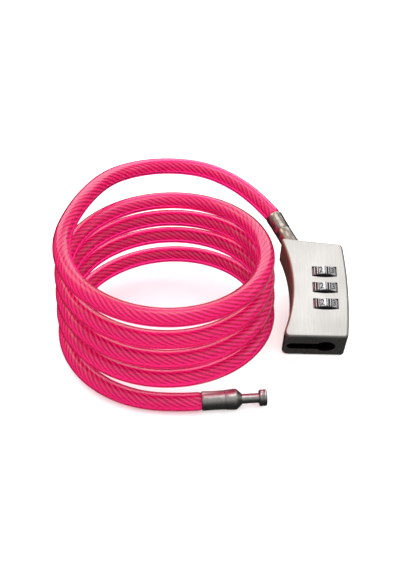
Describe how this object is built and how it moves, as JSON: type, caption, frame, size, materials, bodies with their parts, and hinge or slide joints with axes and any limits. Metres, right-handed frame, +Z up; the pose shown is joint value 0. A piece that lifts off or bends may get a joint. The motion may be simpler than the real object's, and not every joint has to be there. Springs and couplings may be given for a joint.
{
  "type": "combination cable lock",
  "caption": "Combination cable lock: a waisted metal body with number dials and a keyhole end, anchored to a self-coiling steel cable in a pink jacket that ends in a headed locking pin.",
  "frame": {"origin": "under the middle of the lock body, on the table", "axes": "+Z up from the table; +Y from the lock's keyhole end towards its cable anchor end; +X to the right across the dials; the coil lies on the -X side"},
  "size_m": [0.1152, 0.1137, 0.0508],
  "materials": {
    "case_metal": "satin nickel over a zinc die casting, brushed lengthwise",
    "cover_metal": "plain satin",
    "screw_steel": "zinc plated",
    "dial_metal": "satin with dark filled digits",
    "ring_brass": "turned",
    "spring_steel": "bright wire",
    "spindle_steel": "turned",
    "ferrule_steel": "polished",
    "pin_steel": "satin, turned",
    "rope_steel": "stranded wire",
    "cable_jacket": "glossy translucent vinyl"
  },
  "bodies": {
    "case": {"front_case": "case_metal", "rear_cover": "cover_metal", "cover_screws": "screw_steel", "detent_spring": "spring_steel", "spindle_spring": "spring_steel", "spring_bush": "ring_brass", "plug_saddle": "cover_metal", "anchor_ferrule": "ferrule_steel", "anchor_pin": "screw_steel", "anchor_rope_end": "rope_steel", "cable_lead": "cable_jacket", "cable_coil": "cable_jacket", "cable_tail": "cable_jacket", "pin_rope_end": "rope_steel", "pin_ferrule": "pin_steel", "locking_pin": "pin_steel"},
    "dial_1": {"dial_1": "dial_metal", "code_ring_1": "ring_brass"},
    "dial_2": {"dial_2": "dial_metal", "code_ring_2": "ring_brass"},
    "dial_3": {"dial_3": "dial_metal", "code_ring_3": "ring_brass"},
    "spindle": {"spindle": "spindle_steel"}
  },
  "joints": [
    {"name": "dial_1_turn", "type": "hinge", "parent": "case", "child": "dial_1", "pos_m": [0.0038, -0.00807, 0.0131], "axis": [0, 0.9511, 0.309], "continuous": true},
    {"name": "dial_2_turn", "type": "hinge", "parent": "case", "child": "dial_2", "pos_m": [0.0038, -0.00108, 0.01537], "axis": [0, 0.9511, 0.309], "continuous": true},
    {"name": "dial_3_turn", "type": "hinge", "parent": "case", "child": "dial_3", "pos_m": [0.0038, 0.00591, 0.01764], "axis": [0, 0.9511, 0.309], "continuous": true},
    {"name": "spindle_slide", "type": "slide", "parent": "case", "child": "spindle", "axis": [0, 0.9511, 0.309], "range_m": [0, 0.0024], "stiffness_N_per_m": 250, "springref_m": -0.002, "deforming": ["spindle_spring"]}
  ]
}
